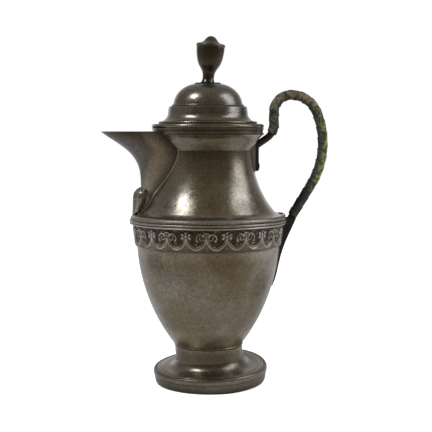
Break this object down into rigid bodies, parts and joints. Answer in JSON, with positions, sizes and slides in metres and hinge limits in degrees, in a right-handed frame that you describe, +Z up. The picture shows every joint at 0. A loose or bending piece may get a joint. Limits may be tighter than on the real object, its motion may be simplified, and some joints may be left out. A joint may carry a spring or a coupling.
{
  "type": "chocolate pot",
  "caption": "Footed pewter chocolate pot with a beak spout, a strip-bound iron loop handle, a swag frieze and a lift-off domed lid with a turned finial.",
  "frame": {"origin": "centre of the face that the foot rests on", "axes": "+Z up along the pot's axis, the spout points along -X, the handle is along +X, and Y runs across the two"},
  "size_m": [0.1911, 0.132, 0.2914],
  "materials": {
    "pewter": "aged pewter with a soft grey-brown patina",
    "dark_pewter": "pewter browned by handling",
    "wrought_iron": "blackened forged iron",
    "grip_binding": "worn strip, darkened by hands"
  },
  "bodies": {
    "pot": {"foot_plinth": "pewter", "foot_bead_ring": "pewter", "foot_stem": "pewter", "bowl": "pewter", "bowl_top_fillet": "pewter", "frieze_band": "pewter", "shoulder_ledge": "pewter", "shoulder_beading": "pewter", "upper_body": "pewter", "neck_collar": "pewter", "spout": "pewter", "spout_bud": "pewter", "handle_neck_pad": "pewter", "handle_bowl_pad": "pewter", "handle_core": "wrought_iron", "handle_binding": "grip_binding"},
    "lid": {"lid_rim": "pewter", "lid_bead_ring": "pewter", "lid_dome": "pewter", "lid_bezel": "pewter"},
    "finial": {"finial_disc": "pewter", "finial_plug": "pewter", "finial_cup": "dark_pewter", "finial_cap": "dark_pewter"}
  },
  "joints": [
    {"name": "lid_lift", "type": "slide", "parent": "pot", "child": "lid", "axis": [0, 0, 1], "range_m": [0, 0.06]},
    {"name": "finial_lift", "type": "slide", "parent": "lid", "child": "finial", "axis": [0, 0, 1], "range_m": [0, 0.05]}
  ]
}
